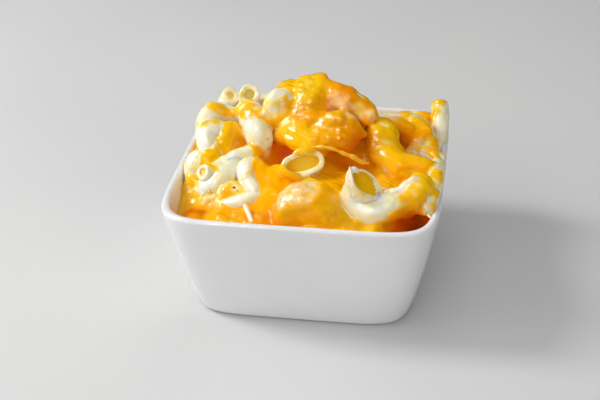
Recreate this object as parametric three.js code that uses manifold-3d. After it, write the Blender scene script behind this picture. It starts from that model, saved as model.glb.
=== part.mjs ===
// Macaroni and cheese heaped in a small square porcelain bowl.
// Millimetres, +Z up, origin at the centre of the bowl's footprint on the table.
// Two solids: the bowl, and the heap of sauced elbow macaroni that lies in it.
import * as THREE from 'three';
import { mergeVertices } from 'three/addons/utils/BufferGeometryUtils.js';
import Module from 'manifold-3d';

// ---- bowl: driving sizes ----
const HEIGHT = 44.6;        // table to rim
const RIM_HALF = 48.6;      // half width across the rim
const BASE_HALF = 38.6;     // half width at the table, before the foot is rounded
const PROFILE = 0.75;       // exponent of the wall's flare: below 1 the wall curves outwards early
const N_RIM = 7.3;          // squareness of the plan at the rim
const N_BASE = 6.3;         // squareness of the plan at the base
const FOOT_R = 2.2;         // rounding between wall and foot
const WALL_RIM = 2.6;       // thickness at the lip
const WALL_LOW = 3.4;       // thickness near the floor
const FLOOR_Z = 4.4;        // inside floor
const FLOOR_R = 7.0;        // rounding between wall and inside floor
const RECESS = 0.9;         // hollow under the base, inside the foot ring
const RECESS_HALF = 30.0;
const SEGS = 48;            // points round each ring

// ---- heap: driving sizes ----
const GAP = 0.35;           // clearance between the heap and the bowl
const HEAP_LIMIT = 48.2;    // half width that the heap keeps above the rim
const LEVEL = 37.8;         // sauce level between the mounds, left side
const LEVEL_SLOPE = 0.028;  // rise of that level towards +X
// mounds of the heap, and the hollows between them, below zero: [x, y, spread in x, spread in y, height]
const MOUNDS = [
  [1, 16, 13, 11, 18.5],
  [9, 3, 13, 12, 7.5],
  [-38, 7, 9, 13, 9],
  [-22, 20, 11, 13, 11],
  [-26, -9, 13, 11, 5],
  [28, 4, 11, 11, 6],
  [42, 30, 7, 8, 4.5],
  [24, -22, 13, 10, 4],
  [0, -20, 13, 10, 5],
  [-6, 34, 22, 8, 3],
  [38, -39, 6, 4.5, -6],
  [-6, -32, 12, 7, 3.5],
  [-12, -18, 7, 6, 2],
  [14, -2, 5, 6, -6],
  [24, -6, 5, 4, -4],
  [-46, -22, 3, 16, 1],
  [15, 13, 4, 4, -5],
  [-13, -19, 6, 5, 2.5],
  [-7, -20, 6, 7, 0.8],
  [9, -31, 5.5, 5, 4],
  [-9, -6, 5.5, 4, -6],
];
const GRID = 18;            // cells across the mounded surface
const ELBOW_SIDES = 8;      // sides of an elbow's section
const ELBOW_TURN = 27;      // largest turn between sections along an elbow, degrees
const END_BORE = 0.6;       // open end: bore as a share of the radius
const END_DEPTH = 2.6;      // depth of the bore at an open end
// elbows that stand proud: [x, y, z of the middle, heading, pitch, roll of the bend in degrees,
// length, radius of the bend, radius of the tube, 1 where the first end stands open]
const ELBOWS = [
  [-36.5, 21.9, 53.9, -146, -64, 156, 12, 7.2, 3.4, 1],
  [-28, 22.1, 56.7, 148, -71, -143, 15.5, 6.8, 3.8, 1],
  [-37.7, 10.8, 56.5, 42, 0, -47, 22.5, 7.4, 3.9],
  [-39.4, -2.5, 51, -114, -50, -149, 14.9, 5.5, 3.5],
  [-31.9, 0.7, 52.5, 26, -5, -66, 25.6, 5.4, 4.5],
  [-21.7, 3.8, 55.1, -69, -36, -77, 18.4, 13.1, 5.5],
  [-40, -10.7, 47.1, 20, 10, -62, 21.2, 4.8, 4],
  [-29.1, -11.7, 46.7, 46, -1, 96, 22, 82.3, 3.3, 1],
  [-29.3, -15.7, 44.4, -131, -17, -22, 17.6, 19, 4.4],
  [-20, -28, 42.2, 11, 7, -130, 15.7, 20.2, 2.7],
  [-21.3, -18.6, 45.5, -81, -21, -147, 19, 7.6, 3.3],
  [-1.9, -12.7, 48.3, 103, -40, -114, 15.4, 90, 6.4, 1],
  [-7.2, 1, 54.9, -53, 5, -138, 18.6, 13.4, 5.1],
  [-15, 5.3, 62.9, -117, -59, -113, 18.8, 4.4, 3.6],
  [-11.5, 9.4, 62.5, 84, 33, -73, 9.9, 9, 5],
  [-2.5, 9.2, 64.6, 98, 34, -90, 12.2, 12, 5.6],
  [-4.1, 6.4, 59.6, -1, 3, -161, 17.4, 12.6, 3.6],
  [1.3, 11.1, 66.1, 101, 42, -80, 11.1, 9.4, 3.2],
  [11, 11.3, 64.3, -15, -13, -78, 19.2, 22.4, 4.9],
  [8.3, 1.4, 59.4, 11, 3, -52, 13.2, 5.9, 4.4],
  [7.7, -3, 55.3, 19, 5, -87, 9.7, 9.1, 4.5],
  [25.6, 3.7, 50.4, -68, -15, -136, 14.7, 14.6, 5.3],
  [35.1, -4.3, 46.3, -18, -9, 165, 14.7, 29.7, 4.6],
  [26.5, 25.9, 49.4, 13, -5, -29, 13.2, 14.6, 2.9],
  [37.2, 20.4, 49.8, -54, -3, -62, 14, 11.2, 3.9],
  [37, 10, 46.9, -118, -18, -90, 10.8, 18.4, 2.7],
  [45.2, 27.7, 46.6, -89, -32, 34, 23.1, 51.8, 3.5, 1],
  [42.3, 8.1, 44.6, -26, -11, -55, 9.5, 10.4, 3.5],
  [45.5, -14.5, 47.2, -93, 0, -70, 32.1, 40.1, 2.8],
  [20.3, -28.1, 47.4, -42, -70, 92, 14.6, 7.6, 6.3, 1],
  [30.3, -30.8, 45.4, 13, 11, -175, 14.9, 17.7, 5.1],
  [38.2, -27.8, 48, 33, 35, -166, 9.3, 9.2, 4.8],
  [2.7, -33, 48.2, 3, 1, -68, 21.1, 9.2, 5.9],
  [5, -36, 44.7, 7, 1, -107, 13.3, 8.4, 4.3],
  [7.1, 27.9, 51.2, -48, 14, -21, 21.9, 13.7, 4.6],
  [-16.4, 25.7, 54.8, 161, -6, -80, 21.2, 12.7, 4.4],
  [24.5, 32.1, 41.6, -140, 13, -159, 21.9, 12.5, 4.2],
  [-23.1, 36, 46.2, 173, -20, -82, 20, 15.4, 4.6],
  [6.9, 35, 45.5, 151, -15, -158, 23.1, 16.4, 4.2],
  [-35.9, 27.9, 45.1, 88, -20, -112, 21.2, 15.5, 4.6],
  [25.7, 20.7, 46.5, -111, 30, -124, 19.6, 11.6, 4.2],
  [34, 37.5, 43.4, 10, 0, -90, 17, 14, 4.3],
  [-10, 38.5, 43.6, 176, 4, -60, 20, 14, 4.3],
];

const rad = (d) => (d * Math.PI) / 180;
const mix = (a, b, t) => a + (b - a) * t;

// ---- plan and profile of the bowl ----
const outerHalf = (z) => BASE_HALF + (RIM_HALF - BASE_HALF) * Math.pow(Math.max(z, 0) / HEIGHT, PROFILE);
const squareness = (z) => mix(N_BASE, N_RIM, Math.min(Math.max(z / HEIGHT, 0), 1));
const wall = (z) => mix(WALL_LOW, WALL_RIM, Math.min(z / HEIGHT, 1));

// one closed ring of a rounded square, its points gathered towards the corners
function ring(half, n, z) {
  const pts = [];
  for (let i = 0; i < SEGS; i++) {
    const phi = (2 * Math.PI * i) / SEGS;
    const a = phi + (0.6 * Math.sin(4 * phi)) / 4;
    const c = Math.cos(a), s = Math.sin(a);
    const r = half / Math.pow(Math.pow(Math.abs(c), n) + Math.pow(Math.abs(s), n), 1 / n);
    pts.push([r * c, r * s, z]);
  }
  return pts;
}

// closed solid through a stack of rings; the first and last close on a centre point
function stack(rings, zFirst, zLast) {
  const pos = [], idx = [];
  for (const r of rings) for (const p of r) pos.push(...p);
  const n = SEGS, m = rings.length;
  for (let k = 0; k + 1 < m; k++) {
    for (let i = 0; i < n; i++) {
      const a = k * n + i, b = k * n + ((i + 1) % n), c = a + n, d = b + n;
      idx.push(a, b, d, a, d, c);
    }
  }
  const first = pos.length / 3; pos.push(0, 0, zFirst);
  const last = pos.length / 3; pos.push(0, 0, zLast);
  for (let i = 0; i < n; i++) {
    idx.push(first, (i + 1) % n, i);
    idx.push(last, (m - 1) * n + i, (m - 1) * n + ((i + 1) % n));
  }
  const g = new THREE.BufferGeometry();
  g.setAttribute('position', new THREE.BufferAttribute(new Float32Array(pos), 3));
  g.setIndex(idx);
  return g;
}

// outside of the bowl from the foot ring up to just below the lip
function outsideRings() {
  const rings = [
    ring(RECESS_HALF - 1.2, N_BASE, RECESS),
    ring(RECESS_HALF, N_BASE, 0),
    ring(BASE_HALF - FOOT_R, N_BASE, 0),
  ];
  for (const t of [30, 60]) {
    const z = FOOT_R * (1 - Math.cos(rad(t)));
    rings.push(ring(outerHalf(z) - FOOT_R * (1 - Math.sin(rad(t))), squareness(z), z));
  }
  for (const z of [FOOT_R, 8, 16, 25, 34, HEIGHT - 2.6]) rings.push(ring(outerHalf(z), squareness(z), z));
  return rings;
}

// rounded lip from outside to inside, moved outwards from the wall by `grow`
function lipRings(grow) {
  const r = WALL_RIM / 2, zc = HEIGHT - r, mid = outerHalf(zc) - r;
  return [15, 55, 90, 125, 165].map((t) =>
    ring(mid + (r + grow) * Math.cos(rad(t)), squareness(HEIGHT), zc + (r + grow) * Math.sin(rad(t))));
}

// inside of the bowl from below the lip down to the floor, moved inwards by `shrink`
function insideRings(shrink) {
  const rings = [];
  const half = (z) => outerHalf(z) - wall(z) - shrink;
  for (const z of [36, 27, 18, FLOOR_Z + FLOOR_R]) rings.push(ring(half(z), squareness(z), z));
  for (const t of [35, 65, 90]) {
    const z = FLOOR_Z + shrink + FLOOR_R * (1 - Math.sin(rad(t)));
    rings.push(ring(half(FLOOR_Z + FLOOR_R) - FLOOR_R * (1 - Math.cos(rad(t))), squareness(z), z));
  }
  return rings;
}

const bowlGeometry = stack([...outsideRings(), ...lipRings(0), ...insideRings(0)], RECESS, FLOOR_Z);

// ---- room that the heap may fill: the hollow of the bowl, and a tall block over the rim ----
function roomGeometry() {
  const rings = [...insideRings(GAP)].reverse();
  rings.push(...lipRings(GAP).reverse().slice(0, 3));
  rings.push(ring(HEAP_LIMIT, N_RIM, HEIGHT + GAP + 0.25));
  rings.push(ring(HEAP_LIMIT, N_RIM, HEIGHT + 45));
  return stack(rings, FLOOR_Z + GAP, HEIGHT + 45);
}

// ---- sauced mass of the heap, between and under the elbows ----
function level(x, y) {
  let z = LEVEL + LEVEL_SLOPE * (x + 45);
  for (const [cx, cy, sx, sy, h] of MOUNDS) {
    z += h * Math.exp(-((x - cx) ** 2 / (2 * sx * sx) + (y - cy) ** 2 / (2 * sy * sy)));
  }
  return z;
}
function mountainGeometry() {
  const span = 2 * (HEAP_LIMIT + 2), pos = [], idx = [], n = GRID + 1;
  for (let j = 0; j < n; j++) for (let i = 0; i < n; i++) {
    const x = -span / 2 + (span * i) / GRID, y = -span / 2 + (span * j) / GRID;
    pos.push(x, y, level(x, y));
  }
  for (let j = 0; j < GRID; j++) for (let i = 0; i < GRID; i++) {
    const a = j * n + i, b = a + 1, c = a + n, d = c + 1;
    idx.push(a, b, d, a, d, c);
  }
  // skirt down to below the floor, closed by a fan
  const edge = [];
  for (let i = 0; i < GRID; i++) edge.push(i);
  for (let j = 0; j < GRID; j++) edge.push(j * n + GRID);
  for (let i = GRID; i > 0; i--) edge.push(GRID * n + i);
  for (let j = GRID; j > 0; j--) edge.push(j * n);
  const base = pos.length / 3;
  for (const e of edge) pos.push(pos[3 * e], pos[3 * e + 1], 0);
  const centre = pos.length / 3; pos.push(0, 0, 0);
  for (let k = 0; k < edge.length; k++) {
    const k2 = (k + 1) % edge.length;
    idx.push(edge[k], base + k, base + k2, edge[k], base + k2, edge[k2]);
    idx.push(centre, base + k2, base + k);
  }
  const g = new THREE.BufferGeometry();
  g.setAttribute('position', new THREE.BufferAttribute(new Float32Array(pos), 3));
  g.setIndex(idx);
  return g;
}

// ---- one elbow: a tube bent to an arc, bored at its open end ----
function elbowGeometry([x, y, z, heading, pitch, roll, length, bend, r, open = 0]) {
  const h = rad(heading), p = rad(pitch), ro = rad(roll);
  const t = new THREE.Vector3(Math.cos(p) * Math.cos(h), Math.cos(p) * Math.sin(h), Math.sin(p));
  const s = new THREE.Vector3().crossVectors(t, new THREE.Vector3(0, 0, 1)).normalize();
  const u = new THREE.Vector3().crossVectors(s, t);
  const inward = s.clone().multiplyScalar(Math.cos(ro)).addScaledVector(u, Math.sin(ro));
  const side = new THREE.Vector3().crossVectors(t, inward);
  const centre = new THREE.Vector3(x, y, z).addScaledVector(inward, bend);
  const pos = [], idx = [], k = ELBOW_SIDES;
  const section = (a, radius, along) => {
    const out = inward.clone().multiplyScalar(-Math.cos(a)).addScaledVector(t, Math.sin(a));
    const dir = inward.clone().multiplyScalar(Math.sin(a)).addScaledVector(t, Math.cos(a));
    const c = centre.clone().addScaledVector(out, bend).addScaledVector(dir, along);
    for (let i = 0; i < k; i++) {
      const q = (2 * Math.PI * i) / k;
      const v = c.clone().addScaledVector(out, radius * Math.cos(q)).addScaledVector(side, radius * Math.sin(q));
      pos.push(v.x, v.y, v.z);
    }
    return c;
  };
  const half = length / 2 / bend;
  const steps = Math.max(1, Math.ceil((2 * half * 180) / Math.PI / ELBOW_TURN));
  let m = steps + 1;
  let first = null, last = null;
  if (open) {
    first = section(-half, r * END_BORE, END_DEPTH);
    section(-half, r * END_BORE, 0);
    m += 2;
  }
  for (let j = 0; j <= steps; j++) {
    const c = section(mix(-half, half, j / steps), r, 0);
    if (!open && j === 0) first = c;
    if (j === steps) last = c;
  }
  for (let j = 0; j + 1 < m; j++) for (let i = 0; i < k; i++) {
    const a = j * k + i, b = j * k + ((i + 1) % k), c = a + k, d = b + k;
    idx.push(a, d, b, a, c, d);
  }
  const f = pos.length / 3; pos.push(first.x, first.y, first.z);
  const l = pos.length / 3; pos.push(last.x, last.y, last.z);
  for (let i = 0; i < k; i++) {
    idx.push(f, i, (i + 1) % k);
    idx.push(l, (m - 1) * k + ((i + 1) % k), (m - 1) * k + i);
  }
  const g = new THREE.BufferGeometry();
  g.setAttribute('position', new THREE.BufferAttribute(new Float32Array(pos), 3));
  g.setIndex(idx);
  return g;
}

// ---- joining and cutting ----
const wasm = await Module();
wasm.setup();
function solid(geometry) {
  const g = geometry.clone();
  g.deleteAttribute('normal'); g.deleteAttribute('uv');
  const merged = mergeVertices(g, 1e-4);
  return new wasm.Manifold(new wasm.Mesh({
    numProp: 3,
    vertProperties: new Float32Array(merged.attributes.position.array),
    triVerts: new Uint32Array(merged.index.array),
  }));
}
function geometryOf(manifold) {
  const mesh = manifold.getMesh();
  const g = new THREE.BufferGeometry();
  g.setAttribute('position', new THREE.BufferAttribute(new Float32Array(mesh.vertProperties), 3));
  g.setIndex(Array.from(mesh.triVerts));
  g.computeVertexNormals();
  return g;
}

// the outer skin alone: closed pockets left between touching elbows are filled
function outerSkin(geometry) {
  const index = geometry.index.array, p = geometry.attributes.position.array;
  const parent = Array.from({ length: p.length / 3 }, (_, i) => i);
  const find = (i) => { while (parent[i] !== i) { parent[i] = parent[parent[i]]; i = parent[i]; } return i; };
  for (let i = 0; i < index.length; i += 3) {
    parent[find(index[i])] = find(index[i + 1]);
    parent[find(index[i + 1])] = find(index[i + 2]);
  }
  const volume = new Map();
  for (let i = 0; i < index.length; i += 3) {
    const [a, b, c] = [0, 1, 2].map((k) => new THREE.Vector3().fromArray(p, 3 * index[i + k]));
    const root = find(index[i]);
    volume.set(root, (volume.get(root) || 0) + a.dot(b.cross(c)) / 6);
  }
  const largest = [...volume.entries()].sort((a, b) => b[1] - a[1])[0][0];
  const kept = [];
  for (let i = 0; i < index.length; i += 3) {
    if (find(index[i]) === largest) kept.push(index[i], index[i + 1], index[i + 2]);
  }
  const g = new THREE.BufferGeometry();
  g.setAttribute('position', geometry.attributes.position.clone());
  g.setIndex(kept);
  const skin = mergeVertices(g.toNonIndexed(), 1e-5);
  skin.computeVertexNormals();
  return skin;
}

let mass = solid(mountainGeometry());
for (const e of ELBOWS) mass = mass.add(solid(elbowGeometry(e)));
mass = mass.intersect(solid(roomGeometry()));

// ---- scene graph ----
const group = new THREE.Group();
group.name = 'mac_and_cheese';

const porcelain = new THREE.MeshStandardMaterial({ color: 0xf1f0f0, roughness: 0.12, metalness: 0 });
const cheese = new THREE.MeshStandardMaterial({ color: 0xeda815, roughness: 0.35, metalness: 0 });

bowlGeometry.computeVertexNormals();
const bowl = new THREE.Mesh(bowlGeometry, porcelain);
bowl.name = 'bowl';
group.add(bowl);

const heap = new THREE.Mesh(outerSkin(geometryOf(mass)), cheese);
heap.name = 'macaroni_heap';
group.add(heap);

export default group;
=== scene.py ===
# Macaroni and cheese heaped in a small square porcelain bowl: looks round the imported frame.
import bpy
import math
import numpy as np
from mathutils import Matrix, Vector


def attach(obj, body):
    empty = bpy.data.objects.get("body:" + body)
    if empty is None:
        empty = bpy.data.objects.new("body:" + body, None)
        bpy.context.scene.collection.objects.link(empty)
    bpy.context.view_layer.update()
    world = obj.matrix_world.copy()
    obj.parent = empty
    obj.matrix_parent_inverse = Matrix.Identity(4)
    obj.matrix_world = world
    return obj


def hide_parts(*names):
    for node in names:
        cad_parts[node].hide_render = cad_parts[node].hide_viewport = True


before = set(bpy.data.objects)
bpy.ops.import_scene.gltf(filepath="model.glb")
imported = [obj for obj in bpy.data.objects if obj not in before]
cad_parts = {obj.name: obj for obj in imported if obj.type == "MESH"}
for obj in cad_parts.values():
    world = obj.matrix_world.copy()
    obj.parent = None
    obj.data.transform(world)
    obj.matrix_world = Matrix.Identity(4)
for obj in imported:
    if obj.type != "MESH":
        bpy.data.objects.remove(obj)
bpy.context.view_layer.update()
MM = 0.001

# ------------------------------------------------------------------ bowl sizes (mm), as in the frame
HEIGHT, RIM_HALF, BASE_HALF, PROFILE = 44.6, 48.6, 38.6, 0.75
N_RIM, N_BASE = 7.3, 6.3
FOOT_R, WALL_RIM, WALL_LOW = 2.2, 2.6, 3.4
FLOOR_Z, FLOOR_R, RECESS, RECESS_HALF = 4.4, 7.0, 0.9, 30.0


def outer_half(z):
    return BASE_HALF + (RIM_HALF - BASE_HALF) * (np.maximum(z, 0.0) / HEIGHT) ** PROFILE


def squareness(z):
    return N_BASE + (N_RIM - N_BASE) * np.clip(np.asarray(z, float) / HEIGHT, 0, 1)


def wall(z):
    return WALL_LOW + (WALL_RIM - WALL_LOW) * np.minimum(np.asarray(z, float) / HEIGHT, 1)


def rounded_radius(x, y, n):
    ax, ay = np.abs(x), np.abs(y)
    m = np.maximum(np.maximum(ax, ay), 1e-6)
    return m * ((ax / m) ** n + (ay / m) ** n) ** (1.0 / n)


def room_half(z):
    """Half width that the food may take at a height: the bowl's inside, then free above the rim."""
    inner = outer_half(np.minimum(z, HEIGHT)) - wall(z)
    lip = WALL_RIM / 2
    t = np.clip((z - (HEIGHT - lip)) / (lip + 0.05), 0, 1)
    inner = inner + lip * (1 - np.sqrt(np.clip(1 - t * t, 0, 1)))
    over = np.clip((z - HEIGHT) / 1.2, 0, 1)
    return inner + over * (RIM_HALF - 0.4 - inner)


# ------------------------------------------------------------------ smooth noise
class Waves:
    """Smooth random field made of plane waves; scale is the wavelength in mm."""

    def __init__(self, seed, scale, count=14):
        rng = np.random.default_rng(seed)
        d = rng.normal(size=(count, 3))
        d /= np.linalg.norm(d, axis=1)[:, None]
        self.k = (d * (2 * np.pi / (scale * rng.uniform(0.7, 1.5, size=(count, 1))))).astype(np.float32)
        self.p = rng.uniform(0, 2 * np.pi, count).astype(np.float32)
        self.n = count

    def __call__(self, x, y, z):
        v = 0.0
        for (a, b, c), p in zip(self.k, self.p):
            v = v + np.sin(a * x + b * y + c * z + p)
        return v / math.sqrt(self.n / 2.0)


# ------------------------------------------------------------------ the view the places are read in
CAM_AT = np.array([58.236, -381.437, 253.031])
CAM_R = np.array([0.98790894, 0.15421459, -0.01593041])
CAM_U = np.array([-0.06416999, 0.50027555, 0.86348514])
CAM_F = np.array([-0.1411316, 0.85202244, -0.50412264])
FOCAL = 1198.6


def at(u, v, y):
    """The place (mm) seen at picture point (u, v) of a 600 x 400 picture and lying at depth y."""
    ray = CAM_F + CAM_R * (u - 300) / FOCAL - CAM_U * (v - 200) / FOCAL
    return CAM_AT + ray * (y - CAM_AT[1]) / ray[1]


# ------------------------------------------------------------------ the heap: mounds of sauce
LEVEL, LEVEL_SLOPE = 37.8, 0.028
# painted shade: hollows and creases where the sauce colour is darker and its shine duller: x, y, z, reach (mm), depth
# of colour
PAINTED_SHADE_HOLLOWS = [(-12, 3.6, 44, 6.5, 1.0), (15, 13, 46, 5.5, 1.3), (11, -4, 44, 6.5, 0.4), (20, -5, 43, 4, 0.35),
        (40, -22, 34, 5.5, 1.3), (41, -34, 35, 6.0, 1.4), (33, -39, 35, 5, 0.35), (-40, -37, 34, 5, 0.6), (-8, -41, 38, 6, 0.35)]
# the same by picture point: u, v, reach, depth of colour
PAINTED_SHADE_SEEN = [(345, 92, 4.5, 0.25), (312, 112, 4.0, 0.25), (403, 141, 5.0, 0.6), (241, 142, 2.2, 0.5), (358, 142, 4.0, 0.72),
             (191, 210.5, 1.4, 0.6), (198, 211.5, 1.4, 0.6), (205, 212.5, 1.2, 0.4), (400, 219, 3.5, 0.28), (414, 219, 3.5, 0.36), (345, 166, 5.0, 0.12), (264, 214, 5.0, 0.22), (236, 214, 7.0, 0.14), (406, 161, 4.0, 0.12), (422, 168, 4.0, 0.12), (279, 187, 3.0, 0.12), (251, 112, 2.6, 0.15), (301, 189, 4.0, 0.18), (263, 180, 4.5, 0.2), (261, 170, 4.0, 0.14), (289, 152, 3.5, 0.34), (293, 111, 2.5, 0.2)]
# painted light: brighter, yellower sauce where it lies in shade; also a yellower tone
PAINTED_LIGHT_YELLOW_SEEN = [(352, 223, 3.5, 0.45), (368, 226, 3.5, 0.45), (385, 222, 3.0, 0.3), (281, 207, 2.2, 0.7), (300, 222, 4.0, 0.15), (382, 138, 3.5, 0.15), (378, 150, 3.0, 0.3),
               (366, 185, 3.0, 0.4), (375, 190, 2.5, 0.4), (303, 163, 3.5, 0.7), (310, 159, 2.5, 0.6), (314, 84, 3.5, 0.4), (304, 98, 4.5, 0.5), (290, 88, 3.0, 0.4), (226, 128, 4.0, 0.4), (188, 180, 3.0, 0.4), (186, 190, 3.0, 0.25), (186, 200, 3.0, 0.2)]
# places where the sauce has set and no longer shines; below zero, where it is wettest
DULL_SEEN = [(265, 168, 4.0, 0.8), (268, 178, 4.5, 1.0), (267, 190, 4.5, 0.9), (259, 200, 3.5, 0.7), (274, 172, 3.0, 0.7), (322, 200, 5.0, 0.6), (330, 184, 4.0, 0.5),
             (291, 88, 4.0, -1.0), (299, 95, 4.5, -1.2), (311, 88, 3.5, -1.0), (287, 132, 3.5, -0.5), (340, 130, 4.5, -1.2), (374, 138, 4.0, -1.2), (376, 153, 4.0, -1.2), (278, 203, 3.0, -1.0), (331, 211, 3.0, -0.9)]
# pale yellow-green: painted light inside the open ends, which would lie in shade; also paler curds at the front
PALE_AND_PAINTED_LIGHT_SEEN = [(249.5, 94, 2.6, 1.3), (231, 95, 2.4, 0.6), (303, 162, 3.0, 0.25), (206, 197, 2.0, 0.3), (214, 201, 2.0, 0.3)]
# paler, pinker places
PINK_SEEN = [(336, 97, 2.4, 0.62), (344, 103, 2.4, 0.6), (361, 108, 2.2, 0.7), (334, 106, 2.0, 0.7), (273, 103, 3.4, 1.2), (268, 108, 2.5, 0.7),
             (352, 115, 1.6, 0.8), (358, 119, 1.4, 0.7), (372, 116, 1.8, 0.65), (391, 117, 2.6, 0.8), (412, 151, 2.2, 1.0),
             (421, 142, 1.6, 0.9), (434, 160, 3.5, 0.6), (440, 124, 3.5, 0.6), (297, 188, 3.2, 0.9), (307, 185, 3.0, 0.8), (289, 194, 2.8, 0.8), (280, 201, 2.2, 0.9), (306, 194, 2.6, 0.6), (228, 180, 3.0, 0.5),
             (410, 116, 2.5, 0.5), (203, 172, 1.6, 1.0), (206, 197, 2.5, 0.7), (215, 201, 2.5, 0.6), (220, 112, 2.0, 0.4), (231, 95, 2.2, 0.9)]
MOUNDS = [(1, 16, 13, 11, 18.5), (9, 3, 13, 12, 7.5), (-38, 7, 9, 13, 9), (-22, 20, 11, 13, 11),
          (-26, -9, 13, 11, 5), (28, 4, 11, 11, 6.0), (42, 30, 7, 8, 4.5), (24, -22, 13, 10, 4),
          (0, -20, 13, 10, 5), (-6, 34, 22, 8, 3), (38, -39, 6, 4.5, -6), (-6, -32, 12, 7, 3.5),
          (-12, -18, 7, 6, 2.0), (14, -2, 5, 6, -6), (24, -6, 5, 4, -4), (-47.5, -25, 3.0, 15, -2.5), (15, 13, 4, 4, -5), (-13, -19, 6, 5, 2.5), (-7, -20, 6, 7, 0.8), (9, -31, 5.5, 5, 4.0), (-9, -6, 5.5, 4, -6)]


def level(x, y):
    z = LEVEL + LEVEL_SLOPE * (x + 45)
    for cx, cy, sx, sy, h in MOUNDS:
        z = z + h * np.exp(-((x - cx) ** 2 / (2 * sx * sx) + (y - cy) ** 2 / (2 * sy * sy)))
    return z


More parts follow.
